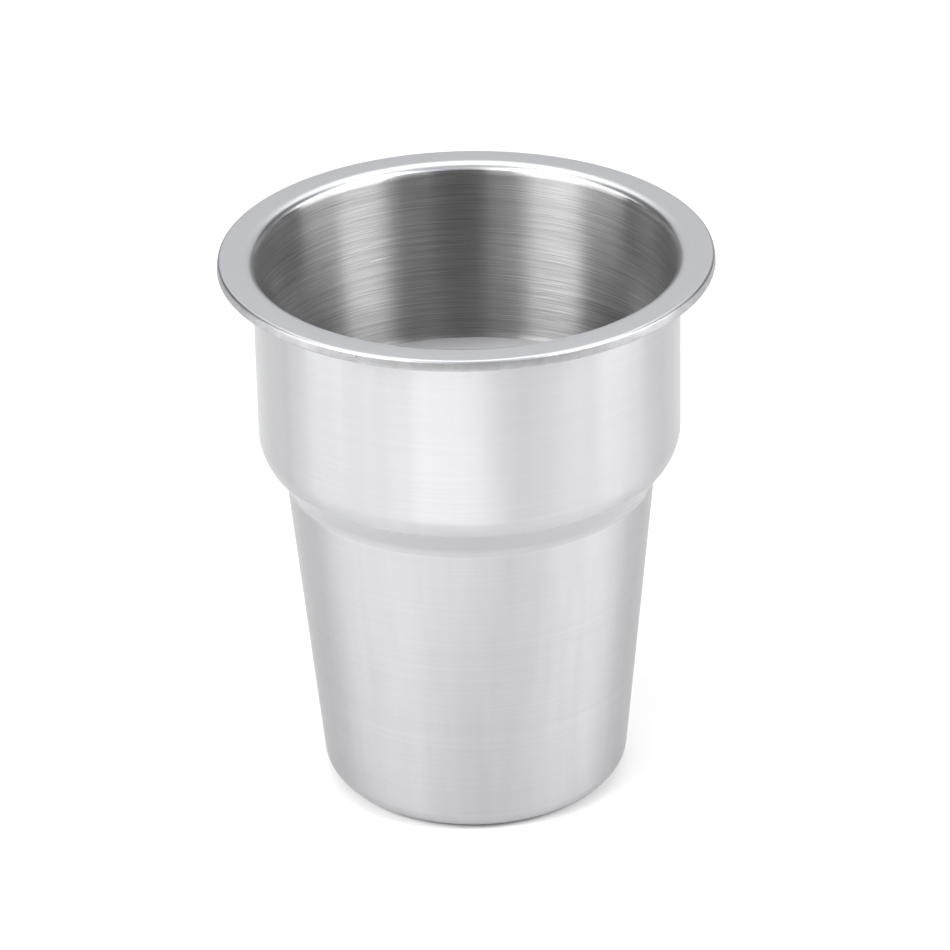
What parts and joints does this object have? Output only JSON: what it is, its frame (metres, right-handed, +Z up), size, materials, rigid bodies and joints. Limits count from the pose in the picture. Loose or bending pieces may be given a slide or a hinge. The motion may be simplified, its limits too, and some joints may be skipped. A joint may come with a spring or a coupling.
{
  "type": "soup kettle inset",
  "caption": "Round stainless steel pot with a flat flange, straight upper band, sloping shoulder and tapered lower body, that drops into a round heated soup well.",
  "frame": {"origin": "centre of the pot's underside", "axes": "+Z up along the pot's axis; the pot is round, so X and Y are free"},
  "size_m": [0.1872, 0.1872, 0.2193],
  "materials": {
    "shell_steel": "satin outside, brushed round the inside",
    "flange_steel": "fine satin"
  },
  "bodies": {
    "root": {"base_pan": "shell_steel", "lower_wall": "shell_steel", "upper_shell": "shell_steel", "rim_flange": "flange_steel"}
  },
  "joints": []
}
